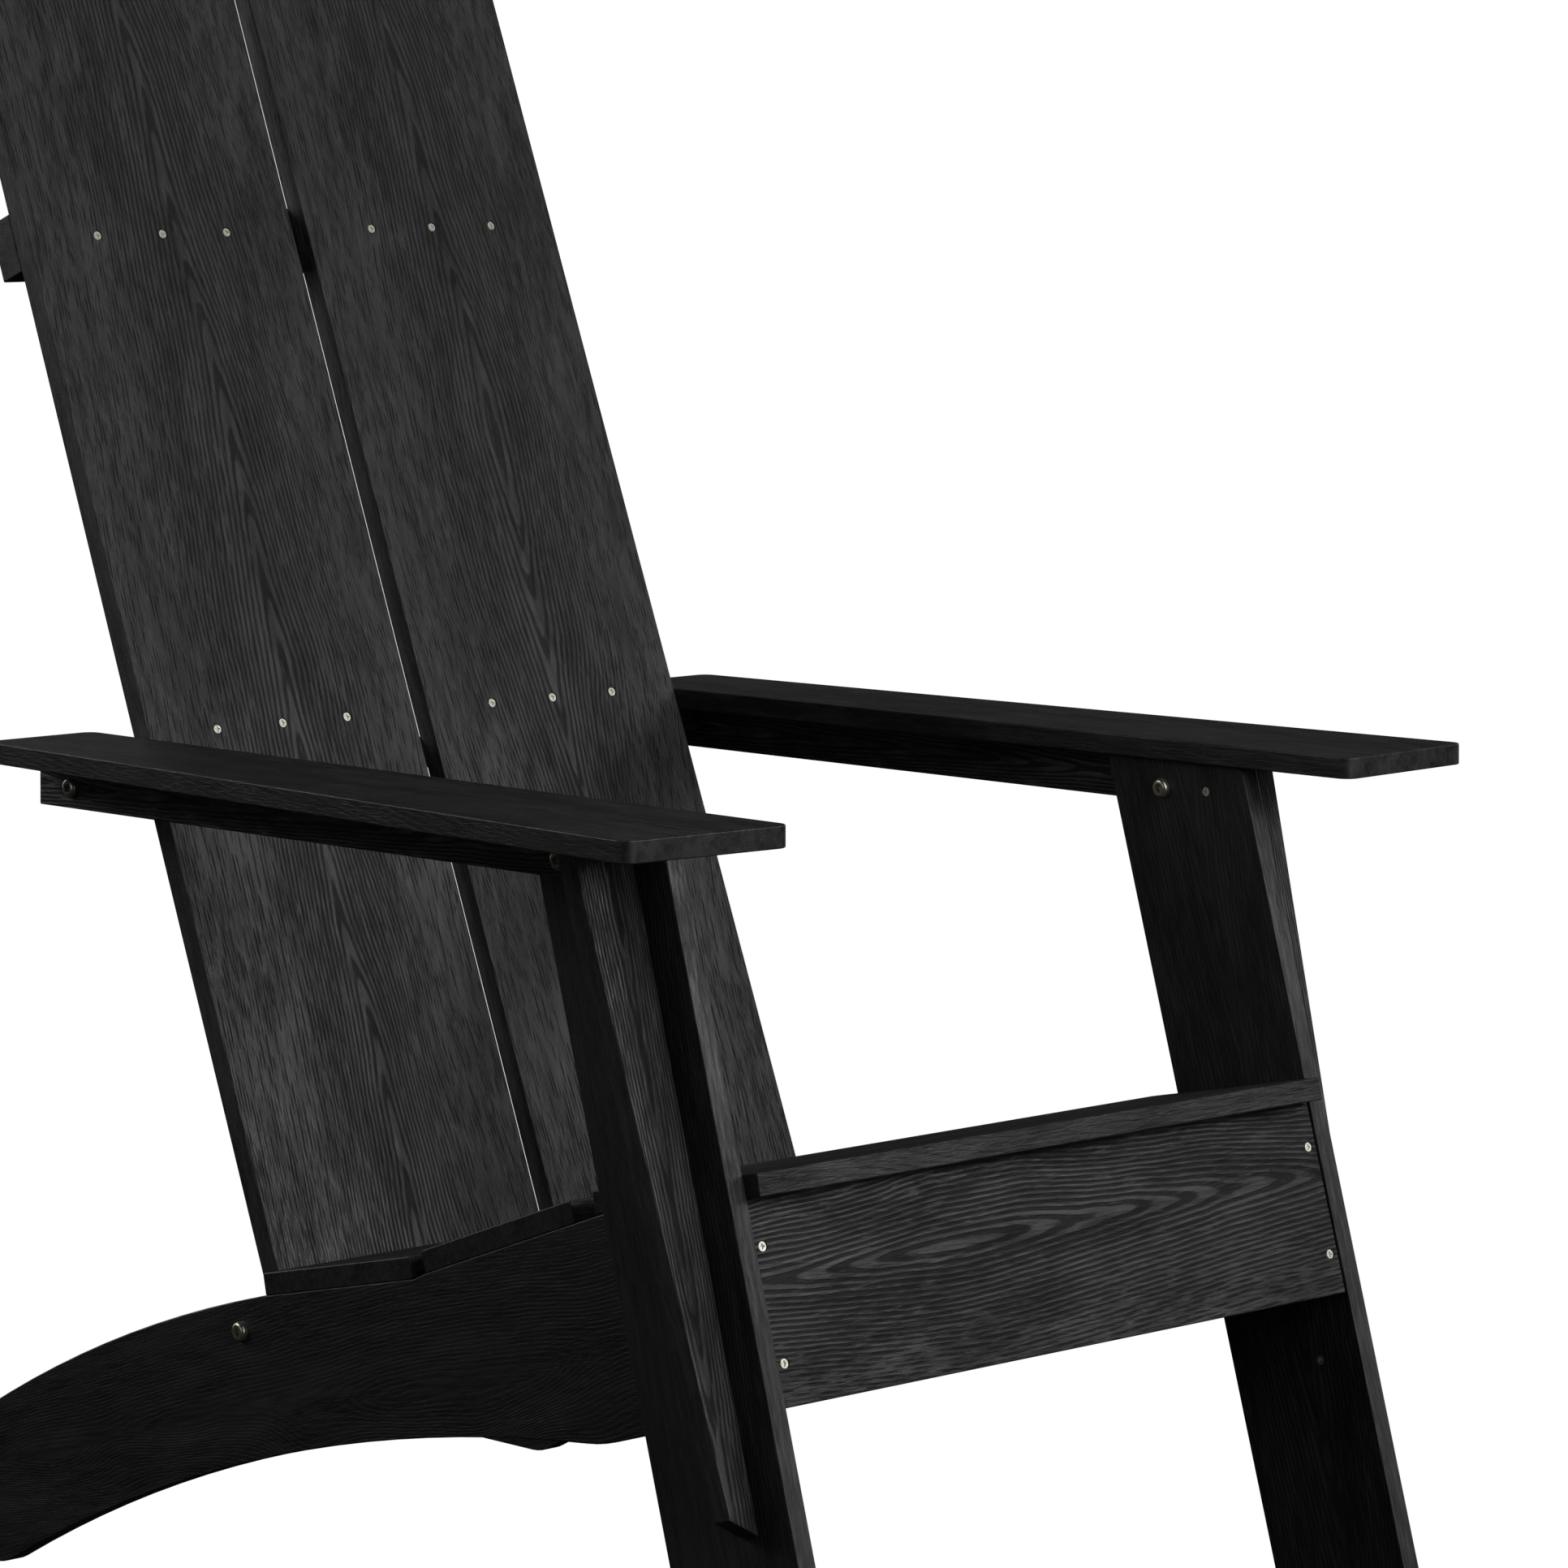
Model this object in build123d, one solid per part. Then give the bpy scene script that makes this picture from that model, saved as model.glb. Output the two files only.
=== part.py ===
"""Adirondack chair in poly lumber, built from separate boards, screws and bolts.

Units are millimetres. The chair faces -Y, +Z is up and X runs across it. The origin
is on the floor under the middle of the chair. Left and right are those of someone
sitting in it, so left is +X. Each export is one separate piece, or one group of
identical fasteners.
"""
from math import cos, radians, sin, tan
import os

from build123d import *

# ---- shared board stock -------------------------------------------------------
EDGE_RADIUS = 1.0            # eased edge of every board
SLAT_GAP_CLEARANCE = 0.4     # seat slat to back slats
SLAT_END_MARGIN = 1.5        # rail's edge starts to rise this far past a slat

# ---- back ---------------------------------------------------------------------
BACK_RAKE = 21.57            # lean of the back from vertical
BACK_Y = 252.8               # slats' front face at the lower visible screw row
BACK_Z = 617.4
BACK_HALF_WIDTH = 254.0
SLAT_GAP = 14.3
BACK_SLAT_THICK = 17.3
BACK_SLAT_BOTTOM = -440.0    # measured up the slope from BACK_Z
BACK_SLAT_TOP = 590.0
BACK_SCREW_ROWS = (-422.7, 0.0, 378.3)
BACK_SCREW_X = (70.4, 130.75, 191.1)
BATTEN_WIDTH = 44.6
BATTEN_THICK = 23.8
BATTEN_CENTRE = 380.1
CLEAT_INNER = 44.0
CLEAT_OUTER = 218.0
BACK_RAIL_THICK = 16.0
BACK_RAIL_DEPTH = 35.6
ARM_RAIL_CENTRE = -24.0
LOWER_RAIL_CENTRE = -422.7
CLEAT_SCREW_X = (100.5, 161.0)

# ---- arms and aprons ----------------------------------------------------------
ARM_TOP = 615.1
ARM_THICK = 14.85
ARM_REAR_Y = 319.3
ARM_REAR_INNER = 253.9
ARM_REAR_OUTER = 349.8
ARM_FRONT_INNER = (266.5, -421.7)
ARM_FRONT_OUTER = (401.3, -412.5)
ARM_CORNER_RADIUS = 10.0
APRON_INNER = 284.9
APRON_THICK = 19.6
APRON_HEIGHT = 32.9
APRON_REAR_Y = 314.0
ARM_SCREW_Y = (220.0, 20.0, -175.0)

# ---- front legs and brackets --------------------------------------------------
LEG_RAKE = 15.75
LEG_FRONT_Y = -318.8         # front edge at the arm's underside
LEG_TOP_WIDTH = 129.5
LEG_FOOT_WIDTH = 124.6
LEG_THICK = 15.1
LEG_TOP_RADIUS = 8.0
BRACKET_SETBACK = 31.5       # behind the leg's front edge, level
BRACKET_THICK = 16.0
BRACKET_TOP_REACH = 51.3     # out from the leg's outer face
BRACKET_FOOT_REACH = 22.1
BRACKET_OUTER_LENGTH = 441.0
BRACKET_INNER_LENGTH = 455.0

# ---- seat ---------------------------------------------------------------------
RAIL_OUTER = 269.8
RAIL_THICK = 15.5
SEAT_SLAT_DEPTH = 160.4
SEAT_SLAT_THICK = 15.5
SEAT_REAR_SLOPE = 12.1
SEAT_MIDDLE_SLOPE = 19.8
SEAT_FRONT_SLOPE = 11.5
SEAT_REAR_EDGE = (106.4, 255.4)      # top rear edge of each slat: y, z
SEAT_MIDDLE_EDGE = (-62.2, 294.5)
SEAT_FRONT_EDGE = (-235.1, 358.1)
APRON_SETBACK = 2.0                  # front apron behind the legs' front edges
FRONT_APRON_THICK = 15.5
FRONT_APRON_FOOT = 242.4             # height of its lower edge
RAIL_FRONT_FOOT = 239.4              # height of the rail's lower front corner
RAIL_ARC_Y = 108.8                   # where the upper edge leaves the seat's line
RAIL_ARC_SLOPE = 14.6
RAIL_REAR_TOP = (488.1, 76.6)
RAIL_HEEL = (406.5, 0.0)             # where the lower edge meets the floor
RAIL_HEEL_SLOPE = 28.6
RAIL_WAIST = (-4.8, 155.1)           # where the lower edge's curve slackens
RAIL_BELLY = (-244.2, 191.6)         # where it turns up to the front
HEEL_RADIUS = 43.0
BELLY_RADIUS = 140.0
REAR_TOP_RADIUS = 14.0
REAR_FOOT_RADIUS = 8.0
SEAT_SCREW_INSET = 20.0
APRON_SCREW_DROPS = (268.4, 343.3)   # down the rake from the arm's underside

# ---- screws -------------------------------------------------------------------
SCREW_HEAD = 6.3
SCREW_HEAD_HEIGHT = 2.3
SCREW_RIM = 0.3
SCREW_SINK = 0.6                     # head below the board's face
COUNTERBORE = 7.6
SCREW_SHANK = 4.2
SCREW_TIP = 5.0
SCREW_TIP_END = 0.8
RECESS_SPAN = 4.0
RECESS_WIDTH = 1.0
RECESS_DEPTH = 1.4
FIT = 0.1                            # hole over fastener, on the diameter
BACK_SCREW_LENGTH = 36.0
SEAT_SCREW_LENGTH = 34.0
APRON_SCREW_LENGTH = 36.0
ARM_SCREW_LENGTH = 43.0
CLEAT_SCREW_LENGTH = 36.0
BRACKET_SCREW_LENGTH = 34.0
BRACKET_SCREW_DROPS = (20.0, 408.0)  # below the arm's underside

# ---- bolts --------------------------------------------------------------------
BOLT_SHANK = 6.0
BOLT_HEAD = 13.7
BOLT_HEAD_HEIGHT = 4.4
BOLT_HEAD_RADIUS = 2.6
HEX_ACROSS_FLATS = 6.0
HEX_DEPTH = 3.0
SLEEVE_DIAMETER = 9.0
SLEEVE_END = 1.0                     # solid wall left at the sleeve's closed end
BORE_BEYOND = 1.0                    # hole past the end of a bolt or barrel nut
BACK_BOLT_LENGTH = 52.0
LEG_TOP_BOLT_LENGTH = 30.0
LEG_TOP_SLEEVE_LENGTH = 20.0
LEG_RAIL_BOLT_LENGTH = 26.0
LEG_RAIL_SLEEVE_LENGTH = 18.0
LEG_TOP_BOLT = (-243.3, 579.4)       # y, z
LEG_BOLT_SETBACK = 64.6              # behind the leg's front edge, level
LEG_BOLT_HEIGHTS = (322.4, 255.4)
BARREL_DIAMETER = 10.0
BARREL_LENGTH = 13.0
BARREL_INSET = 26.0                  # in from the end of a back rail
BARREL_SLOT_WIDTH = 1.4
BARREL_SLOT_DEPTH = 1.2

# ---- derived ------------------------------------------------------------------
ARM_UNDERSIDE = ARM_TOP - ARM_THICK
LEG_SLOPE = tan(radians(LEG_RAKE))
RAIL_MIDDLE = RAIL_OUTER - RAIL_THICK / 2
RAIL_INNER = RAIL_OUTER - RAIL_THICK
LEG_OUTER = RAIL_OUTER + LEG_THICK

BACK = Plane(
    origin=(0, BACK_Y, BACK_Z),
    x_dir=(1, 0, 0),
    z_dir=(0, -cos(radians(BACK_RAKE)), sin(radians(BACK_RAKE))),
)


def raked_plane(setback):
    """Plane parallel to the legs' front edges, facing forwards, setback behind them."""
    return Plane(
        origin=(0, LEG_FRONT_Y + setback, ARM_UNDERSIDE),
        x_dir=(1, 0, 0),
        z_dir=(0, -cos(radians(LEG_RAKE)), sin(radians(LEG_RAKE))),
    )


def seat_plane(edge, slope):
    """Top face of a seat slat, with its rear edge at y = 0."""
    return Plane(
        origin=(0, edge[0], edge[1]),
        x_dir=(1, 0, 0),
        z_dir=(0, sin(radians(slope)), cos(radians(slope))),
    )


def seat_underside(edge, slope):
    """A point on the slat's underside, and its slope, in the YZ plane."""
    drop_y = SEAT_SLAT_THICK * sin(radians(slope))
    drop_z = SEAT_SLAT_THICK * cos(radians(slope))
    return (edge[0] - drop_y, edge[1] - drop_z), slope


def crossing(line_a, line_b):
    """Where two lines in the YZ plane cross; each is a point and a forward-up slope."""
    (ya, za), slope_a = line_a
    (yb, zb), slope_b = line_b
    ta = -tan(radians(slope_a))
    tb = -tan(radians(slope_b))
    y = (zb - za + ta * ya - tb * yb) / (ta - tb)
    return (y, za + ta * (y - ya))


def height_on(line, y):
    (y0, z0), slope = line
    return z0 - (y - y0) * tan(radians(slope))


def raked_line(setback):
    """The same kind of line, down the legs' rake."""
    return (LEG_FRONT_Y + setback, ARM_UNDERSIDE), LEG_RAKE - 90


def ease(board):
    return fillet(board.edges(), EDGE_RADIUS)


def side_board(outline, inner, thickness):
    """A board standing across X, from an outline in the YZ plane, on the left side."""
    return extrude(Plane.YZ.offset(inner) * outline, thickness)


def near(shape, y, z):
    """The outline's corner closest to a point in the YZ plane."""
    return min(shape.vertices(), key=lambda v: abs(v.X - y) + abs(v.Y - z))


def mirrored(board):
    return mirror(board, Plane.YZ)


def drill(board, cutter, places):
    for place in places:
        board = board - place * cutter
    return board


def set_of(piece, places):
    return Compound(children=[place * piece for place in places])


# ---- fasteners: each has its head's seat at z = 0 and points down ----------------
def wood_screw(length):
    head_cone = SCREW_HEAD_HEIGHT - SCREW_RIM
    shank_end = length - SCREW_TIP
    rim = Pos(0, 0, -SCREW_RIM / 2) * Cylinder(SCREW_HEAD / 2, SCREW_RIM)
    cone = Cone(SCREW_SHANK / 2, SCREW_HEAD / 2, head_cone)
    cone = Pos(0, 0, -SCREW_RIM - head_cone / 2) * cone
    shank_length = shank_end - SCREW_HEAD_HEIGHT
    shank = Cylinder(SCREW_SHANK / 2, shank_length)
    shank = Pos(0, 0, -SCREW_HEAD_HEIGHT - shank_length / 2) * shank
    tip = Cone(SCREW_TIP_END / 2, SCREW_SHANK / 2, SCREW_TIP)
    tip = Pos(0, 0, -shank_end - SCREW_TIP / 2) * tip
    recess = Box(RECESS_SPAN, RECESS_WIDTH, 2 * RECESS_DEPTH)
    recess += Box(RECESS_WIDTH, RECESS_SPAN, 2 * RECESS_DEPTH)
    return Pos(0, 0, -SCREW_SINK) * (rim + cone + shank + tip - recess)


def screw_cutter(length):
    seat = SCREW_SINK + SCREW_RIM + FIT
    head_cone = SCREW_HEAD_HEIGHT - SCREW_RIM
    rim = Cylinder(COUNTERBORE / 2, 2 * seat)
    cone = Cone((SCREW_SHANK + FIT) / 2, (SCREW_HEAD + FIT) / 2, head_cone)
    cone = Pos(0, 0, -seat - head_cone / 2) * cone
    depth = length + SCREW_SINK + FIT
    bore = Cylinder((SCREW_SHANK + FIT) / 2, depth)
    return rim + cone + Pos(0, 0, -depth / 2) * bore


def button_head():
    head = Pos(0, 0, BOLT_HEAD_HEIGHT / 2) * Cylinder(BOLT_HEAD / 2, BOLT_HEAD_HEIGHT)
    head = fillet(head.edges().group_by(Axis.Z)[-1], BOLT_HEAD_RADIUS)
    socket = RegularPolygon(HEX_ACROSS_FLATS / 2, 6, major_radius=False, rotation=30)
    socket = extrude(Pos(0, 0, BOLT_HEAD_HEIGHT) * socket, -HEX_DEPTH)
    return head - socket


def bolt(length):
    shank = Pos(0, 0, -length / 2) * Cylinder(BOLT_SHANK / 2, length)
    return button_head() + shank


def sleeve_nut(length):
    barrel = Pos(0, 0, -length / 2) * Cylinder(SLEEVE_DIAMETER / 2, length)
    thread = Cylinder((BOLT_SHANK + FIT) / 2, length - 2 * SLEEVE_END)
    return button_head() + barrel - Pos(0, 0, -SLEEVE_END - length / 2) * thread


def shank_cutter(diameter, length):
    return Pos(0, 0, -length / 2) * Cylinder((diameter + FIT) / 2, length)


def barrel_nut():
    """Cross dowel standing along z with its lower end slotted, bored along x."""
    barrel = Cylinder(BARREL_DIAMETER / 2, BARREL_LENGTH)
    thread = Cylinder((BOLT_SHANK + FIT) / 2, 2 * BARREL_DIAMETER)
    slot = Box(2 * BARREL_DIAMETER, BARREL_SLOT_WIDTH, 2 * BARREL_SLOT_DEPTH)
    barrel = barrel - Rot(0, 90, 0) * thread
    return barrel - Pos(0, 0, -BARREL_LENGTH / 2) * slot


# ---- fastener places ------------------------------------------------------------
def both_sides(x_values):
    return [side * x for side in (-1, 1) for x in x_values]


def back_screw_places():
    return [BACK * Pos(x, row, 0) for row in BACK_SCREW_ROWS for x in both_sides(BACK_SCREW_X)]


def cleat_screw_places():
    """Up through the arm-level rail's lower face into the cleats."""
    low = ARM_RAIL_CENTRE - BACK_RAIL_THICK / 2
    depth = BACK_SLAT_THICK + BATTEN_THICK / 2
    places = []
    for x in both_sides(CLEAT_SCREW_X):
        places.append(BACK * Pos(x, low, -depth) * Rot(90, 0, 0))
    return places


def outward(x, y, z, side):
    """On a board's side face, pointing inwards: the head faces away from x = 0."""
    return Pos(side * x, y, z) * Rot(0, side * 90, 0)


def inward(x, y, z, side):
    """The same, with the head facing x = 0."""
    return Pos(side * x, y, z) * Rot(0, -side * 90, 0)


def seat_screw_places():
    places = []
    for edge, slope in seat_rows():
        for inset in (SEAT_SCREW_INSET, SEAT_SLAT_DEPTH - SEAT_SCREW_INSET):
            for x in both_sides((RAIL_MIDDLE,)):
                places.append(seat_plane(edge, slope) * Pos(x, -inset, 0))
    return places


def apron_screw_places():
    face = raked_plane(APRON_SETBACK)
    drops = APRON_SCREW_DROPS
    return [face * Pos(x, -drop, 0) for drop in drops for x in both_sides((RAIL_MIDDLE,))]


def arm_screw_places(side):
    x = side * (APRON_INNER + APRON_THICK / 2)
    z = ARM_UNDERSIDE - APRON_HEIGHT
    return [Pos(x, y, z) * Rot(180, 0, 0) for y in ARM_SCREW_Y]


def bracket_screw_places(side):
    places = []
    middle = BRACKET_SETBACK + BRACKET_THICK / cos(radians(LEG_RAKE)) / 2
    for drop in BRACKET_SCREW_DROPS:
        y = LEG_FRONT_Y + middle - drop * LEG_SLOPE
        places.append(inward(RAIL_OUTER, y, ARM_UNDERSIDE - drop, side))
    return places


def leg_rail_points():
    points = []
    for z in LEG_BOLT_HEIGHTS:
        points.append((LEG_FRONT_Y + LEG_BOLT_SETBACK - (ARM_UNDERSIDE - z) * LEG_SLOPE, z))
    return points


def rail_centre(row):
    """Where a back rail's middle line is: y and z."""
    depth = BACK_SLAT_THICK + BACK_RAIL_DEPTH / 2
    spot = BACK * Pos(0, row, -depth)
    return spot.position.Y, spot.position.Z


def back_bolt_places(side):
    """Apron into the arm-level rail, and seat rail into the lower rail."""
    y, z = rail_centre(ARM_RAIL_CENTRE)
    top = outward(APRON_INNER + APRON_THICK, y, z, side)
    y, z = rail_centre(LOWER_RAIL_CENTRE)
    return [top, outward(RAIL_OUTER, y, z, side)]


def barrel_places(side):
    depth = BACK_SLAT_THICK + BACK_RAIL_DEPTH / 2
    places = []
    for row, end in ((ARM_RAIL_CENTRE, APRON_INNER), (LOWER_RAIL_CENTRE, RAIL_INNER)):
        spot = Pos(side * (end - BARREL_INSET), row, -depth)
        places.append(BACK * spot * Rot(-90, 0, 0))
    return places


# ---- back pieces ----------------------------------------------------------------
def back_board(x0, x1, low, high, near_depth, far_depth):
    """Board in the back's own frame: across, up the slope, behind the front face."""
    board = ease(Box(x1 - x0, high - low, far_depth - near_depth))
    middle = Pos((x0 + x1) / 2, (low + high) / 2, -(near_depth + far_depth) / 2)
    return BACK * middle * board


def back_slat(side):
    inner = SLAT_GAP / 2
    x0, x1 = sorted((side * inner, side * BACK_HALF_WIDTH))
    slat = back_board(x0, x1, BACK_SLAT_BOTTOM, BACK_SLAT_TOP, 0, BACK_SLAT_THICK)
    places = [BACK * Pos(side * x, row, 0) for row in BACK_SCREW_ROWS for x in BACK_SCREW_X]
    return drill(slat, screw_cutter(BACK_SCREW_LENGTH), places)


def upper_back_batten():
    low = BATTEN_CENTRE - BATTEN_WIDTH / 2
    far = BACK_SLAT_THICK + BATTEN_THICK
    half = BACK_HALF_WIDTH
    batten = back_board(-half, half, low, low + BATTEN_WIDTH, BACK_SLAT_THICK, far)
    places = [BACK * Pos(x, BACK_SCREW_ROWS[2], 0) for x in both_sides(BACK_SCREW_X)]
    return drill(batten, screw_cutter(BACK_SCREW_LENGTH), places)


def back_cleat(side):
    low = ARM_RAIL_CENTRE + BACK_RAIL_THICK / 2
    far = BACK_SLAT_THICK + BATTEN_THICK
    x0, x1 = sorted((side * CLEAT_INNER, side * CLEAT_OUTER))
    cleat = back_board(x0, x1, low, low + BATTEN_WIDTH, BACK_SLAT_THICK, far)
    places = [BACK * Pos(side * x, BACK_SCREW_ROWS[1], 0) for x in BACK_SCREW_X]
    cleat = drill(cleat, screw_cutter(BACK_SCREW_LENGTH), places)
    return drill(cleat, screw_cutter(CLEAT_SCREW_LENGTH), cleat_screw_places())


def back_rail(row, half_length):
    low = row - BACK_RAIL_THICK / 2
    far = BACK_SLAT_THICK + BACK_RAIL_DEPTH
    high = low + BACK_RAIL_THICK
    rail = back_board(-half_length, half_length, low, high, BACK_SLAT_THICK, far)
    barrel_top = BARREL_LENGTH / 2 + BORE_BEYOND
    cross = shank_cutter(BARREL_DIAMETER, barrel_top + BACK_RAIL_THICK)
    bore = shank_cutter(BOLT_SHANK, BACK_BOLT_LENGTH + BORE_BEYOND)
    for side in (-1, 1):
        rail = drill(rail, bore, back_bolt_places(side))
        for place in barrel_places(side):
            rail = rail - place * Pos(0, 0, barrel_top) * cross
    return rail


def arm_level_back_rail():
    rail = back_rail(ARM_RAIL_CENTRE, APRON_INNER)
    return drill(rail, screw_cutter(CLEAT_SCREW_LENGTH), cleat_screw_places())


def lower_back_rail():
    rail = back_rail(LOWER_RAIL_CENTRE, RAIL_INNER)
    places = [BACK * Pos(x, BACK_SCREW_ROWS[0], 0) for x in both_sides(BACK_SCREW_X)]
    return drill(rail, screw_cutter(BACK_SCREW_LENGTH), places)


# ---- side pieces, drawn for the left side ---------------------------------------
def arm():
    plan = Polygon(
        (ARM_REAR_INNER, ARM_REAR_Y),
        ARM_FRONT_INNER,
        ARM_FRONT_OUTER,
        (ARM_REAR_OUTER, ARM_REAR_Y),
        align=None,
    )
    plan = fillet(plan.vertices(), ARM_CORNER_RADIUS)
    board = ease(extrude(Pos(0, 0, ARM_UNDERSIDE) * plan, ARM_THICK))
    return drill(board, screw_cutter(ARM_SCREW_LENGTH), arm_screw_places(1))


def arm_apron():
    rear_of_bracket = BRACKET_SETBACK + BRACKET_THICK / cos(radians(LEG_RAKE))
    low = ARM_UNDERSIDE - APRON_HEIGHT
    front = LEG_FRONT_Y + rear_of_bracket
    outline = Polygon(
        (APRON_REAR_Y, ARM_UNDERSIDE),
        (front, ARM_UNDERSIDE),
        (front - APRON_HEIGHT * LEG_SLOPE, low),
        (APRON_REAR_Y, low),
        align=None,
    )
    board = ease(side_board(outline, APRON_INNER, APRON_THICK))
    board = drill(board, screw_cutter(ARM_SCREW_LENGTH), arm_screw_places(1))
    bore = shank_cutter(BOLT_SHANK, BACK_BOLT_LENGTH)
    board = drill(board, bore, back_bolt_places(1)[:1])
    place = outward(APRON_INNER + APRON_THICK, *LEG_TOP_BOLT, 1)
    board = board - place * shank_cutter(BOLT_SHANK, LEG_TOP_BOLT_LENGTH)
    return board - leg_top_sleeve_place(1) * shank_cutter(SLEEVE_DIAMETER, LEG_TOP_SLEEVE_LENGTH)


def leg_top_sleeve_place(side):
    return inward(RAIL_OUTER, *LEG_TOP_BOLT, side)


def front_leg():
    rear = LEG_FRONT_Y + LEG_TOP_WIDTH
    foot_front = LEG_FRONT_Y - ARM_UNDERSIDE * LEG_SLOPE
    outline = Polygon(
        (rear, ARM_UNDERSIDE),
        (LEG_FRONT_Y, ARM_UNDERSIDE),
        (foot_front, 0),
        (foot_front + LEG_FOOT_WIDTH, 0),
        align=None,
    )
    outline = fillet(near(outline, LEG_FRONT_Y, ARM_UNDERSIDE), LEG_TOP_RADIUS)
    board = ease(side_board(outline, RAIL_OUTER, LEG_THICK))
    board = drill(board, screw_cutter(BRACKET_SCREW_LENGTH), bracket_screw_places(1))
    sleeve = shank_cutter(SLEEVE_DIAMETER, LEG_TOP_SLEEVE_LENGTH)
    board = board - leg_top_sleeve_place(1) * sleeve
    for y, z in leg_rail_points():
        board = board - outward(LEG_OUTER, y, z, 1) * shank_cutter(BOLT_SHANK, LEG_RAIL_BOLT_LENGTH)
        sleeve = shank_cutter(SLEEVE_DIAMETER, LEG_RAIL_SLEEVE_LENGTH)
        board = board - inward(RAIL_INNER, y, z, 1) * sleeve
    return board


def arm_bracket():
    """Tapering fin on the leg's outer face, running up under the arm."""
    overshoot = BRACKET_THICK
    reach_per_drop = (BRACKET_TOP_REACH - BRACKET_FOOT_REACH) / BRACKET_OUTER_LENGTH
    face = Polygon(
        (LEG_OUTER, overshoot),
        (LEG_OUTER, -BRACKET_INNER_LENGTH),
        (LEG_OUTER + BRACKET_FOOT_REACH, -BRACKET_OUTER_LENGTH),
        (LEG_OUTER + BRACKET_TOP_REACH + overshoot * reach_per_drop, overshoot),
        align=None,
    )
    board = extrude(raked_plane(BRACKET_SETBACK) * face, -BRACKET_THICK)
    above = Box(4 * BRACKET_TOP_REACH, 10 * BRACKET_THICK, 4 * overshoot)
    middle_y = LEG_FRONT_Y + BRACKET_SETBACK
    board = board - Pos(LEG_OUTER, middle_y, ARM_UNDERSIDE + 2 * overshoot) * above
    board = ease(board)
    return drill(board, screw_cutter(BRACKET_SCREW_LENGTH), bracket_screw_places(1))


def front_apron_thickness_level():
    return FRONT_APRON_THICK / cos(radians(LEG_RAKE))


def seat_rail():
    """Board on edge from the front apron back to the rear foot."""
    rear_line = seat_underside(seat_rows()[0][0], SEAT_REAR_SLOPE)
    middle_line = seat_underside(SEAT_MIDDLE_EDGE, SEAT_MIDDLE_SLOPE)
    front_line = seat_underside(SEAT_FRONT_EDGE, SEAT_FRONT_SLOPE)
    nose_line = raked_line(APRON_SETBACK + front_apron_thickness_level())
    nose_top = crossing(front_line, nose_line)
    nose_foot = crossing(((0, RAIL_FRONT_FOOT), 0), nose_line)
    rear_foot = (RAIL_REAR_TOP[0], 0)
    slat_run = (SEAT_SLAT_DEPTH + SLAT_END_MARGIN) * cos(radians(SEAT_REAR_SLOPE))
    slat_end = rear_line[0][0] - slat_run
    arc_start = (RAIL_ARC_Y, height_on(rear_line, RAIL_ARC_Y))
    down = radians(RAIL_ARC_SLOPE)
    up = radians(RAIL_HEEL_SLOPE)
    upper = Polyline(
        nose_top,
        crossing(middle_line, front_line),
        middle_line[0],
        (slat_end, height_on(rear_line, slat_end)),
        arc_start,
    )
    upper_arc = TangentArc(arc_start, RAIL_REAR_TOP, tangent=(cos(down), -sin(down)))
    foot = Polyline(RAIL_REAR_TOP, rear_foot, RAIL_HEEL)
    heel_arc = TangentArc(RAIL_HEEL, RAIL_WAIST, tangent=(-cos(up), sin(up)))
    belly_arc = TangentArc(RAIL_WAIST, RAIL_BELLY, tangent=heel_arc % 1)
    nose = Polyline(RAIL_BELLY, nose_foot, nose_top)
    outline = make_face(upper + upper_arc + foot + heel_arc + belly_arc + nose)
    outline = fillet(near(outline, *RAIL_HEEL), HEEL_RADIUS)
    outline = fillet(near(outline, *RAIL_BELLY), BELLY_RADIUS)
    outline = fillet(near(outline, *RAIL_REAR_TOP), REAR_TOP_RADIUS)
    outline = fillet(near(outline, *rear_foot), REAR_FOOT_RADIUS)
    board = ease(side_board(outline, RAIL_INNER, RAIL_THICK))
    board = drill(board, screw_cutter(SEAT_SCREW_LENGTH), seat_screw_places())
    board = drill(board, screw_cutter(APRON_SCREW_LENGTH), apron_screw_places())
    board = drill(board, shank_cutter(BOLT_SHANK, BACK_BOLT_LENGTH), back_bolt_places(1)[1:])
    for y, z in leg_rail_points():
        sleeve = shank_cutter(SLEEVE_DIAMETER, LEG_RAIL_SLEEVE_LENGTH)
        board = board - inward(RAIL_INNER, y, z, 1) * sleeve
    return board


# ---- seat pieces ----------------------------------------------------------------
def seat_rows():
    """Top rear edge and slope of each slat; the rear one stops clear of the back."""
    back_slope = tan(radians(BACK_RAKE))
    foot_y, foot_z = seat_underside(SEAT_REAR_EDGE, SEAT_REAR_SLOPE)[0]
    face_y = BACK_Y + (foot_z - BACK_Z) * back_slope
    shift = foot_y - face_y + SLAT_GAP_CLEARANCE
    rear_edge = (
        SEAT_REAR_EDGE[0] - shift * cos(radians(SEAT_REAR_SLOPE)),
        SEAT_REAR_EDGE[1] + shift * sin(radians(SEAT_REAR_SLOPE)),
    )
    return (
        (rear_edge, SEAT_REAR_SLOPE),
        (SEAT_MIDDLE_EDGE, SEAT_MIDDLE_SLOPE),
        (SEAT_FRONT_EDGE, SEAT_FRONT_SLOPE),
    )


def seat_slat(row):
    edge, slope = seat_rows()[row]
    board = ease(Box(2 * RAIL_OUTER, SEAT_SLAT_DEPTH, SEAT_SLAT_THICK))
    board = Pos(0, -SEAT_SLAT_DEPTH / 2, -SEAT_SLAT_THICK / 2) * board
    board = seat_plane(edge, slope) * board
    return drill(board, screw_cutter(SEAT_SCREW_LENGTH), seat_screw_places())


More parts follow.
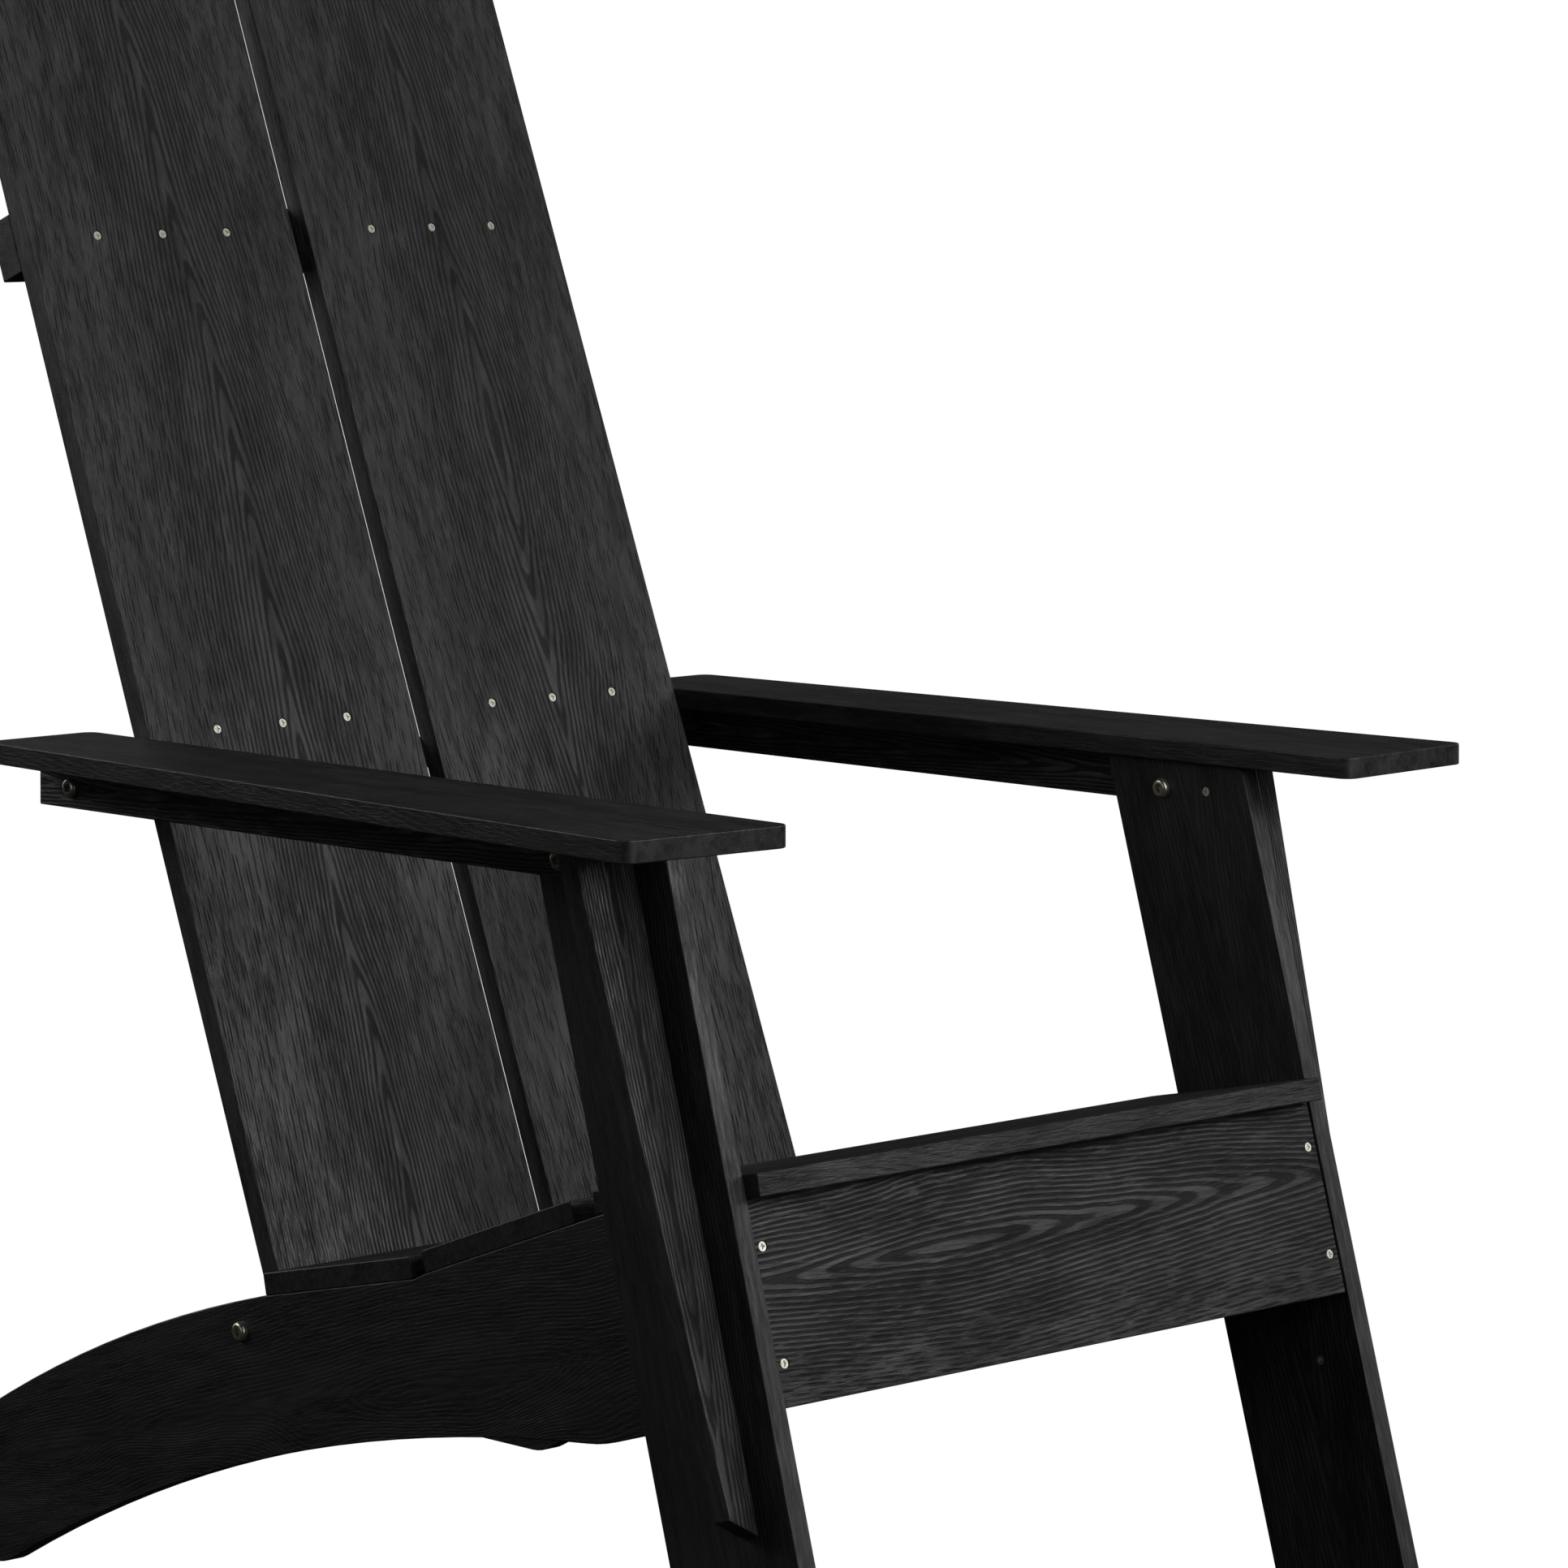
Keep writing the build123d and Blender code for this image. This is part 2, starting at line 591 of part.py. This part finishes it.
def front_apron():
    """Raked board closing the seat's front, between the legs."""
    under = seat_underside(SEAT_FRONT_EDGE, SEAT_FRONT_SLOPE)
    front_line = raked_line(APRON_SETBACK)
    rear_line = raked_line(APRON_SETBACK + front_apron_thickness_level())
    front_foot = crossing(((0, FRONT_APRON_FOOT), 0), front_line)
    foot_line = (front_foot, -LEG_RAKE)
    outline = Polygon(
        crossing(under, front_line),
        front_foot,
        crossing(foot_line, rear_line),
        crossing(under, rear_line),
        align=None,
    )
    board = ease(side_board(outline, -RAIL_OUTER, 2 * RAIL_OUTER))
    board = drill(board, screw_cutter(SEAT_SCREW_LENGTH), seat_screw_places())
    return drill(board, screw_cutter(APRON_SCREW_LENGTH), apron_screw_places())


# ---- assembly -------------------------------------------------------------------
def side_pieces():
    pieces = {
        "arm": arm(),
        "arm_apron": arm_apron(),
        "front_leg": front_leg(),
        "arm_bracket": arm_bracket(),
        "seat_rail": seat_rail(),
    }
    named = {}
    for name, piece in pieces.items():
        named[name + "_left"] = piece
        named[name + "_right"] = mirrored(piece)
    return named


def fastener_groups():
    sides = (-1, 1)
    back_bolts = [place for side in sides for place in back_bolt_places(side)]
    barrels = [place for side in sides for place in barrel_places(side)]
    arm_screws = [place for side in sides for place in arm_screw_places(side)]
    bracket_screws = [place for side in sides for place in bracket_screw_places(side)]
    top_bolts = [outward(APRON_INNER + APRON_THICK, *LEG_TOP_BOLT, side) for side in sides]
    top_sleeves = [leg_top_sleeve_place(side) for side in sides]
    rail_bolts = []
    rail_sleeves = []
    for side in sides:
        for y, z in leg_rail_points():
            rail_bolts.append(outward(LEG_OUTER, y, z, side))
            rail_sleeves.append(inward(RAIL_INNER, y, z, side))
    return {
        "back_slat_screws": set_of(wood_screw(BACK_SCREW_LENGTH), back_screw_places()),
        "cleat_screws": set_of(wood_screw(CLEAT_SCREW_LENGTH), cleat_screw_places()),
        "seat_slat_screws": set_of(wood_screw(SEAT_SCREW_LENGTH), seat_screw_places()),
        "front_apron_screws": set_of(wood_screw(APRON_SCREW_LENGTH), apron_screw_places()),
        "arm_screws": set_of(wood_screw(ARM_SCREW_LENGTH), arm_screws),
        "bracket_screws": set_of(wood_screw(BRACKET_SCREW_LENGTH), bracket_screws),
        "back_rail_bolts": set_of(bolt(BACK_BOLT_LENGTH), back_bolts),
        "barrel_nuts": set_of(barrel_nut(), barrels),
        "leg_top_bolts": set_of(bolt(LEG_TOP_BOLT_LENGTH), top_bolts),
        "leg_top_sleeve_nuts": set_of(sleeve_nut(LEG_TOP_SLEEVE_LENGTH), top_sleeves),
        "leg_rail_bolts": set_of(bolt(LEG_RAIL_BOLT_LENGTH), rail_bolts),
        "leg_rail_sleeve_nuts": set_of(sleeve_nut(LEG_RAIL_SLEEVE_LENGTH), rail_sleeves),
    }


def build():
    pieces = {
        "back_slat_left": back_slat(1),
        "back_slat_right": back_slat(-1),
        "upper_back_batten": upper_back_batten(),
        "back_cleat_left": back_cleat(1),
        "back_cleat_right": back_cleat(-1),
        "arm_level_back_rail": arm_level_back_rail(),
        "lower_back_rail": lower_back_rail(),
        "seat_slat_rear": seat_slat(0),
        "seat_slat_middle": seat_slat(1),
        "seat_slat_front": seat_slat(2),
        "front_apron": front_apron(),
    }
    pieces.update(side_pieces())
    pieces.update(fastener_groups())
    return pieces


os.makedirs("parts", exist_ok=True)
for node, piece in build().items():
    export_step(piece, "parts/" + node + ".step")
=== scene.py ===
"""Looks for the adirondack chair: embossed black poly lumber, steel fasteners, studio."""
import math

import bmesh
import bpy
from mathutils import Matrix, Vector


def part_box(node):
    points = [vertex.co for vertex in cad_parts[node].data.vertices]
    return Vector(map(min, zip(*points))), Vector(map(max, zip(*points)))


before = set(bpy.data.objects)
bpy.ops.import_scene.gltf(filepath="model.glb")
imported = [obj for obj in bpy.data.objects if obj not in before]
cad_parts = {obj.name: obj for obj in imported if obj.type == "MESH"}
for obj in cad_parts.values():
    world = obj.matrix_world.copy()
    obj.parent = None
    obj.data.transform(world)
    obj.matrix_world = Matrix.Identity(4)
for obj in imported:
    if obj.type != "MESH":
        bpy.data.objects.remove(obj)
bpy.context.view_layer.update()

# How the boards lie in the CAD. The chair faces -Y, and its right side is at -X.
BACK_RAKE = math.radians(21.57)
LEG_RAKE = math.radians(15.75)
RAIL_SLOPE = math.radians(16.0)
SEAT_SLOPES = {"rear": 12.1, "middle": 19.8, "front": 11.5}   # degrees

ACROSS = Vector((1, 0, 0))
BACK_UP = Vector((0, math.sin(BACK_RAKE), math.cos(BACK_RAKE)))
LEG_DOWN = Vector((0, -math.sin(LEG_RAKE), -math.cos(LEG_RAKE)))
RAIL_FORWARD = Vector((0, -math.cos(RAIL_SLOPE), math.sin(RAIL_SLOPE)))
FORWARD = Vector((0, -1, 0))
UP = Vector((0, 0, 1))

# Black poly lumber: the raised ground between two shades, then fibre marks and grooves.
GROUND_DARK = (0.0105, 0.0105, 0.0108, 1)
GROUND_LIGHT = (0.0590, 0.0590, 0.0590, 1)
FIBRE_COLOUR = (0.0070, 0.0070, 0.0072, 1)
GROOVE_COLOUR = (0.0035, 0.0035, 0.0036, 1)
EMBOSS_DEPTH = 0.00040
LUMBER_ROUGHNESS = 0.40
LUMBER_SPECULAR = 0.36


# ---- node helpers ---------------------------------------------------------------
class Tree:
    """Short calls for adding linked nodes to one node tree."""

    def __init__(self, tree):
        self.tree = tree

    def add(self, kind, **settings):
        node = self.tree.nodes.new(kind)
        for name, value in settings.items():
            setattr(node, name, value)
        return node

    def feed(self, socket, value):
        if isinstance(value, bpy.types.NodeSocket):
            self.tree.links.new(value, socket)
        elif value is not None:
            socket.default_value = value

    def math(self, operation, a, b=None, c=None, clamp=False):
        node = self.add("ShaderNodeMath", operation=operation, use_clamp=clamp)
        for socket, value in zip(node.inputs, (a, b, c)):
            self.feed(socket, value)
        return node.outputs[0]

    def remap(self, value, low, high, to_low=0.0, to_high=1.0, smooth=True):
        kind = "SMOOTHSTEP" if smooth else "LINEAR"
        node = self.add("ShaderNodeMapRange", interpolation_type=kind)
        for socket, item in zip(node.inputs, (value, low, high, to_low, to_high)):
            self.feed(socket, item)
        return node.outputs[0]

    def split(self, vector):
        node = self.add("ShaderNodeSeparateXYZ")
        self.feed(node.inputs[0], vector)
        return node.outputs

    def stretch(self, vector, scale):
        node = self.add("ShaderNodeVectorMath", operation="MULTIPLY")
        self.feed(node.inputs[0], vector)
        node.inputs[1].default_value = scale
        return node.outputs[0]

    def noise(self, vector, scale, detail=2.0, rough=0.5):
        """Noise of about 0 to 1, stretched by three scales per metre."""
        node = self.add("ShaderNodeTexNoise", noise_dimensions="3D")
        self.feed(node.inputs["Vector"], self.stretch(vector, scale))
        node.inputs["Scale"].default_value = 1.0
        node.inputs["Detail"].default_value = detail
        node.inputs["Roughness"].default_value = rough
        return node.outputs["Fac"]

    def mix(self, factor, low, high):
        node = self.add("ShaderNodeMix", data_type="RGBA")
        self.feed(node.inputs[0], factor)
        self.feed(node.inputs[6], low)
        self.feed(node.inputs[7], high)
        return node.outputs[2]


# ---- embossed grain ---------------------------------------------------------------
GRAIN_SIZES = {
    "Centre": 0.0,      # where the arches' middle line runs, across the board
    "Turn": -2.0,       # how far along the arches change direction
    "Taper": 0.078,     # run of an arch's leg across, for its run along
    "Pitch": 0.0042,    # from one groove to the next
    "Wander": 0.03,     # sideways drift of the middle line
    "Ripple": 0.0036,   # small waves in each groove
    "Loop": 0.012,      # slow waves that close grooves into loops
}


def make_grain_group():
    """Flat-sawn figure. Vector is in the board's own frame: along, across, through."""
    group = bpy.data.node_groups.new("embossed_grain", "ShaderNodeTree")
    for name in GRAIN_SIZES:
        group.interface.new_socket(name, in_out="INPUT", socket_type="NodeSocketFloat")
    group.interface.new_socket("Vector", in_out="INPUT", socket_type="NodeSocketVector")
    for name in ("Groove", "Fibre", "Blotch", "Speck"):
        group.interface.new_socket(name, in_out="OUTPUT", socket_type="NodeSocketFloat")
    g = Tree(group)
    inputs = g.add("NodeGroupInput").outputs
    outputs = g.add("NodeGroupOutput").inputs
    at = inputs["Vector"]
    along, across, through = g.split(at)

    # Distance from the middle line, rounded at the apex and tighter at the edges.
    wander = g.math("SUBTRACT", g.noise(at, (2.6, 4.0, 4.0)), 0.5)
    off = g.math("SUBTRACT", across, inputs["Centre"])
    off = g.math("MULTIPLY_ADD", wander, inputs["Wander"], off)
    square = g.math("MULTIPLY_ADD", off, off, 0.00003)
    reach = g.math("SQRT", square)
    ring = g.math("MULTIPLY_ADD", g.math("MULTIPLY", reach, reach), 2.4, reach)

    # The arches march along the board, away from where they turn.
    past = g.math("SUBTRACT", along, inputs["Turn"])
    march = g.math("SQRT", g.math("MULTIPLY_ADD", past, past, 0.0009))
    ring = g.math("MULTIPLY_ADD", march, inputs["Taper"], ring)
    ring = g.math("MULTIPLY_ADD", through, 0.9, ring)
    loop = g.math("SUBTRACT", g.noise(at, (5.0, 9.0, 9.0), detail=1.0), 0.5)
    ring = g.math("MULTIPLY_ADD", loop, inputs["Loop"], ring)
    ripple = g.math("SUBTRACT", g.noise(at, (19.0, 60.0, 60.0), detail=2.0), 0.5)
    ring = g.math("MULTIPLY_ADD", ripple, inputs["Ripple"], ring)
    phase = g.math("FRACT", g.math("DIVIDE", ring, inputs["Pitch"]))
    wave = g.math("ABSOLUTE", g.math("MULTIPLY_ADD", phase, 2.0, -1.0))

    # Whole lines near the middle, thinner and broken ones towards the edges.
    bold = g.remap(reach, 0.018, 0.085, 1.0, 0.0)
    line = g.remap(wave, 0.40, 0.70)
    dash = g.noise(at, (45.0, 380.0, 380.0), detail=2.0, rough=0.6)
    low = g.remap(bold, 0.0, 1.0, 0.44, 0.24, smooth=False)
    high = g.remap(bold, 0.0, 1.0, 0.62, 0.46, smooth=False)
    groove = g.math("MULTIPLY", line, g.remap(dash, low, high))
    g.feed(outputs["Groove"], groove)

    # Short fibres gather in darker patches.
    patch = g.remap(g.noise(at, (8.0, 34.0, 34.0), detail=3.0, rough=0.62), 0.36, 0.64)
    fine = g.noise(at, (62.0, 600.0, 600.0), detail=3.0, rough=0.64)
    fibre = g.remap(fine, 0.43, 0.64)
    weight = g.math("MULTIPLY_ADD", patch, -0.65, 1.0)
    g.feed(outputs["Fibre"], g.math("MULTIPLY", fibre, weight))
    streak = g.noise(at, (26.0, 190.0, 190.0), detail=3.0, rough=0.62)
    blotch = g.math("MULTIPLY", patch, 0.45)
    blotch = g.math("MULTIPLY_ADD", g.remap(streak, 0.36, 0.64), 0.55, blotch)
    g.feed(outputs["Blotch"], blotch)
    speck = g.noise(at, (800.0, 1100.0, 1100.0), detail=1.0)
    g.feed(outputs["Speck"], g.remap(speck, 0.5, 0.75))
    return group


GRAIN = make_grain_group()


def board_mapping(tree, origin, along, across):
    """Object coordinates in the board's own frame, and how far a surface faces two ways:
    along the board, as its sawn ends do, and through it, as its broad faces do."""
    through = along.cross(across)
    turn = Matrix((along, across, through))
    coords = tree.add("ShaderNodeTexCoord").outputs["Object"]
    mapping = tree.add("ShaderNodeMapping", vector_type="POINT")
    mapping.inputs["Location"].default_value = -(turn @ origin)
    mapping.inputs["Rotation"].default_value = turn.to_euler("XYZ")
    tree.feed(mapping.inputs["Vector"], coords)
    normal = tree.add("ShaderNodeNewGeometry").outputs["True Normal"]
    dots = []
    for axis in (along, through):
        dot = tree.add("ShaderNodeVectorMath", operation="DOT_PRODUCT")
        tree.feed(dot.inputs[0], normal)
        dot.inputs[1].default_value = axis
        dots.append(tree.math("ABSOLUTE", dot.outputs["Value"]))
    return mapping.outputs[0], dots[0], dots[1]


def lumber(name, origin, along, across, face_tone=1.0, edge_tone=1.0, emboss=1.0, **figure):
    """Black poly lumber with its own figure. Two factors paint light and shade into its colour,
    making its faces and edges lighter or darker by how the lamps fall on that board.
    """
    material = bpy.data.materials.new(name)
    material.use_nodes = True
    t = Tree(material.node_tree)
    shader = material.node_tree.nodes["Principled BSDF"]
    at, end_on, face_on = board_mapping(t, origin, along, across)
    grain = t.add("ShaderNodeGroup", node_tree=GRAIN)
    for key, value in {**GRAIN_SIZES, **figure}.items():
        grain.inputs[key].default_value = value
    t.feed(grain.inputs["Vector"], at)
    groove, fibre, blotch, speck = (grain.outputs[i] for i in range(4))

    # Full figure on the faces, fainter on the edges, and sawn ends left smooth.
    groove = t.math("MULTIPLY", groove, t.remap(face_on, 0.5, 0.8, 0.4 * emboss, emboss))
    long_face = t.remap(end_on, 0.4, 0.8, 1.0, 0.1)
    groove = t.math("MULTIPLY", groove, long_face)
    fibre = t.math("MULTIPLY", fibre, long_face)

    ground = t.mix(blotch, GROUND_DARK, GROUND_LIGHT)
    ground = t.mix(t.math("MULTIPLY", fibre, 0.85), ground, FIBRE_COLOUR)
    ground = t.mix(t.math("MULTIPLY", groove, 0.92), ground, GROOVE_COLOUR)
    # Painted light and shade: faces and edges made lighter or darker than the lumber's own colour,
    # by how they are lit.
    if (face_tone, edge_tone) != (1.0, 1.0):
        painted_shade = t.remap(face_on, 0.5, 0.8, edge_tone, face_tone)
        scaled = t.add("ShaderNodeVectorMath", operation="SCALE")
        t.feed(scaled.inputs[0], ground)
        t.feed(scaled.inputs["Scale"], painted_shade)
        ground = scaled.outputs[0]
    t.feed(shader.inputs["Base Color"], ground)

    rough = t.math("MULTIPLY_ADD", groove, 0.30, LUMBER_ROUGHNESS)
    rough = t.math("MULTIPLY_ADD", fibre, 0.16, rough)
    rough = t.math("MULTIPLY_ADD", blotch, -0.06, rough)
    t.feed(shader.inputs["Roughness"], rough)
    shader.inputs["Specular IOR Level"].default_value = LUMBER_SPECULAR

    height = t.math("MULTIPLY", groove, -1.0)
    height = t.math("MULTIPLY_ADD", fibre, -0.5, height)
    height = t.math("MULTIPLY_ADD", speck, 0.2, height)
    bump = t.add("ShaderNodeBump")
    bump.inputs["Strength"].default_value = 1.0
    bump.inputs["Distance"].default_value = EMBOSS_DEPTH * emboss
    t.feed(bump.inputs["Height"], height)
    t.feed(shader.inputs["Normal"], bump.outputs[0])
    return material


def steel(name, tint, dull, roughness, scratches):
    """Plated or plain steel, brushed round and lightly handled."""
    material = bpy.data.materials.new(name)
    material.use_nodes = True
    t = Tree(material.node_tree)
    shader = material.node_tree.nodes["Principled BSDF"]
    at = t.add("ShaderNodeTexCoord").outputs["Object"]
    cloud = t.noise(at, (420.0, 420.0, 420.0), detail=3.0)
    fine = t.noise(at, (2600.0, 2600.0, 5200.0), detail=2.0)
    t.feed(shader.inputs["Base Color"], t.mix(t.remap(cloud, 0.35, 0.7), tint, dull))
    rough = t.math("MULTIPLY_ADD", fine, scratches, roughness)
    t.feed(shader.inputs["Roughness"], rough)
    shader.inputs["Metallic"].default_value = 0.9
    bump = t.add("ShaderNodeBump")
    bump.inputs["Strength"].default_value = 0.35
    bump.inputs["Distance"].default_value = 0.00006
    t.feed(bump.inputs["Height"], fine)
    t.feed(shader.inputs["Normal"], bump.outputs[0])
    return material


def middle(node):
    low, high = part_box(node)
    return (Vector(low) + Vector(high)) / 2


def paint(node, material):
    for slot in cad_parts[node].material_slots:
        slot.material = material


def board(node, along, across, **figure):
    paint(node, lumber(node + "_lumber", middle(node), along, across, **figure))


# ---- boards ---------------------------------------------------------------------
# The face and edge factors below paint light and shade: each kind of board is made lighter or
# darker by how the lamps light or shade it.
board("back_slat_right", BACK_UP, ACROSS, edge_tone=1.3, Centre=0.012, Wander=0.05)
board("back_slat_left", BACK_UP, ACROSS, edge_tone=1.3, Centre=0.006, Turn=0.14, Wander=0.05)

NARROW = {"Wander": 0.01, "Taper": 0.03, "Pitch": 0.0026}
back_depth = ACROSS.cross(BACK_UP)
board("upper_back_batten", ACROSS, BACK_UP, **NARROW)
board("back_cleat_left", ACROSS, BACK_UP, **NARROW)
board("back_cleat_right", ACROSS, BACK_UP, **NARROW)
board("arm_level_back_rail", ACROSS, back_depth, **NARROW)
board("lower_back_rail", ACROSS, back_depth, **NARROW)

ARM_PAINTED_SHADE_AND_EMBOSS = {"face_tone": 0.7, "edge_tone": 0.7, "emboss": 0.5}
board("arm_left", FORWARD, ACROSS, Centre=0.01, Turn=0.05, **ARM_PAINTED_SHADE_AND_EMBOSS)
board("arm_right", FORWARD, ACROSS, Centre=-0.008, **ARM_PAINTED_SHADE_AND_EMBOSS)
board("arm_apron_left", FORWARD, UP, face_tone=1.5, **NARROW)
board("arm_apron_right", FORWARD, UP, face_tone=1.5, **NARROW)
leg_across = LEG_DOWN.cross(ACROSS)
LEG_PAINTED_SHADE_AND_EMBOSS = {"face_tone": 0.8, "edge_tone": 1.2, "emboss": 0.6}
board("front_leg_left", LEG_DOWN, leg_across, Centre=0.008, **LEG_PAINTED_SHADE_AND_EMBOSS)
board("front_leg_right", LEG_DOWN, leg_across, **LEG_PAINTED_SHADE_AND_EMBOSS)
board("arm_bracket_left", LEG_DOWN, ACROSS, face_tone=1.5, Centre=-0.006, **NARROW)
board("arm_bracket_right", LEG_DOWN, ACROSS, face_tone=1.5, Centre=0.004, **NARROW)

rail_up = ACROSS.cross(RAIL_FORWARD)
WAVY = {"Taper": 0.05, "Wander": 0.09, "Ripple": 0.004, "Loop": 0.06, "Pitch": 0.0029}
WAVY |= {"face_tone": 0.8, "emboss": 0.42}
board("seat_rail_left", RAIL_FORWARD, rail_up, Centre=0.01, **WAVY)
board("seat_rail_right", RAIL_FORWARD, rail_up, Centre=0.005, Turn=0.16, **WAVY)
for index, (row, slope) in enumerate(SEAT_SLOPES.items()):
    angle = math.radians(slope)
    uphill = Vector((0, -math.cos(angle), math.sin(angle)))
    turn = 0.2 * index - 0.15
    figure = {"Centre": 0.01 * index - 0.01, "Turn": turn}
    board("seat_slat_" + row, ACROSS, uphill, edge_tone=0.7, **figure)
board("front_apron", ACROSS, -LEG_DOWN, Centre=0.012, Turn=-0.1)

# ---- fasteners ------------------------------------------------------------------
screw_steel = steel("satin_screw_steel", (0.80, 0.79, 0.70, 1), (0.62, 0.61, 0.54, 1), 0.34, 0.2)
bolt_steel = steel("nickel_bolt_steel", (0.72, 0.69, 0.58, 1), (0.52, 0.50, 0.42, 1), 0.20, 0.14)
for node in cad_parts:
    if node.endswith("_screws"):
        paint(node, screw_steel)
    elif node.endswith(("_bolts", "_nuts")):
        paint(node, bolt_steel)


# ---- studio ---------------------------------------------------------------------
FLOOR_RADIUS = 9.0
SWEEP_RADIUS = 3.0
SWEEP_STEPS = 8
WALL_TOP = 14.0
FLOOR_SIDES = 64
FLOOR_GLOW = 1.02


def make_studio():
    """Pale floor that sweeps up into a wall all round. It glows, so that it stays white in
    the camera, and it neither lights the chair nor shows in its gloss."""
    mesh = bpy.data.meshes.new("studio_floor")
    build = bmesh.new()
    steps = [(FLOOR_RADIUS, 0.0)]
    for i in range(1, SWEEP_STEPS + 1):
        turn = math.radians(90 * i / SWEEP_STEPS)
        out = FLOOR_RADIUS + SWEEP_RADIUS * math.sin(turn)
        steps.append((out, SWEEP_RADIUS - SWEEP_RADIUS * math.cos(turn)))
    steps.append((FLOOR_RADIUS + SWEEP_RADIUS, WALL_TOP))
    rings = []
    for radius, height in steps:
        ring = []
        for k in range(FLOOR_SIDES):
            turn = math.tau * k / FLOOR_SIDES
            ring.append(build.verts.new((radius * math.cos(turn), radius * math.sin(turn), height)))
        rings.append(ring)
    build.faces.new(rings[0])
    for lower, upper in zip(rings, rings[1:]):
        for k in range(FLOOR_SIDES):
            after = (k + 1) % FLOOR_SIDES
            build.faces.new((lower[k], lower[after], upper[after], upper[k]))
    build.to_mesh(mesh)
    build.free()
    floor = bpy.data.objects.new("studio_floor", mesh)
    bpy.context.scene.collection.objects.link(floor)
    for face in mesh.polygons:
        face.use_smooth = True
    material = bpy.data.materials.new("pale_floor")
    material.use_nodes = True
    shader = material.node_tree.nodes["Principled BSDF"]
    shader.inputs["Base Color"].default_value = (0.85, 0.85, 0.85, 1)
    shader.inputs["Roughness"].default_value = 0.9
    shader.inputs["Specular IOR Level"].default_value = 0.1
    shader.inputs["Emission Color"].default_value = (1, 1, 1, 1)
    shader.inputs["Emission Strength"].default_value = FLOOR_GLOW
    mesh.materials.append(material)
    floor.visible_diffuse = False
    floor.visible_glossy = False
    floor.visible_shadow = False


def add_light(name, at, target, size, power):
    """Soft rectangular light, aimed at a point. Metres and watts."""
    data = bpy.data.lights.new(name, "AREA")
    data.shape = "RECTANGLE"
    data.size, data.size_y = size
    data.energy = power
    light = bpy.data.objects.new(name, data)
    light.location = at
    aim = Vector(target) - Vector(at)
    light.rotation_euler = aim.to_track_quat("-Z", "Y").to_euler()
    bpy.context.scene.collection.objects.link(light)


make_studio()
SEAT_SIDE = (-0.1, -0.2, 0.5)
MIDDLE = (0.0, 0.0, 0.6)
# The key comes from the chair's front left. left_fill and back_fill are for other views.
add_light("key", (2.1, -2.75, 1.6), SEAT_SIDE, (0.8, 0.6), 18.5)
add_light("key_near", (1.5, -2.2, 1.55), SEAT_SIDE, (0.6, 0.5), 3)
add_light("front", (-0.4, -4.5, 2.2), MIDDLE, (3.2, 3.4), 84)
add_light("front_high", (0.0, -2.6, 3.6), MIDDLE, (2.8, 2.4), 30)
add_light("right_rear", (-2.6, 3.2, 2.4), (0.0, 0.3, 1.0), (2.0, 1.5), 40)
add_light("right_low", (-4.0, 0.6, 0.9), (0.0, 0.0, 0.5), (2.5, 1.2), 4.7)
add_light("left_rear", (3.0, 3.0, 2.2), (0.0, 0.1, 0.7), (2.0, 1.5), 0.9)
add_light("left_fill", (4.2, 0.4, 1.2), (0.0, 0.0, 0.6), (3.0, 2.0), 14)
add_light("back_fill", (0.4, 4.6, 1.5), MIDDLE, (3.4, 2.4), 32)

world = bpy.data.worlds.new("studio")
world.use_nodes = True
world.node_tree.nodes["Background"].inputs["Color"].default_value = (1, 1, 1, 1)
world.node_tree.nodes["Background"].inputs["Strength"].default_value = 0.006
bpy.context.scene.world = world

# Colours as they are, with no film curve.
bpy.context.scene.view_settings.view_transform = "Standard"
bpy.context.scene.view_settings.look = "None"

# ---- camera ---------------------------------------------------------------------
AZIMUTH = math.radians(-43.77)      # round to the chair's right, seen from its front
ELEVATION = math.radians(1.74)
lens = bpy.data.cameras.new("camera")
lens.sensor_width = 36.0
lens.lens = 143.3
lens.shift_y = -0.3433
camera = bpy.data.objects.new("camera", lens)
camera.location = (-2.991, -3.2577, 1.1005)
look = Vector((-math.sin(AZIMUTH), math.cos(AZIMUTH), 0)) * math.cos(ELEVATION)
look.z = -math.sin(ELEVATION)
camera.rotation_euler = look.to_track_quat("-Z", "Y").to_euler()
bpy.context.scene.collection.objects.link(camera)
bpy.context.scene.camera = camera
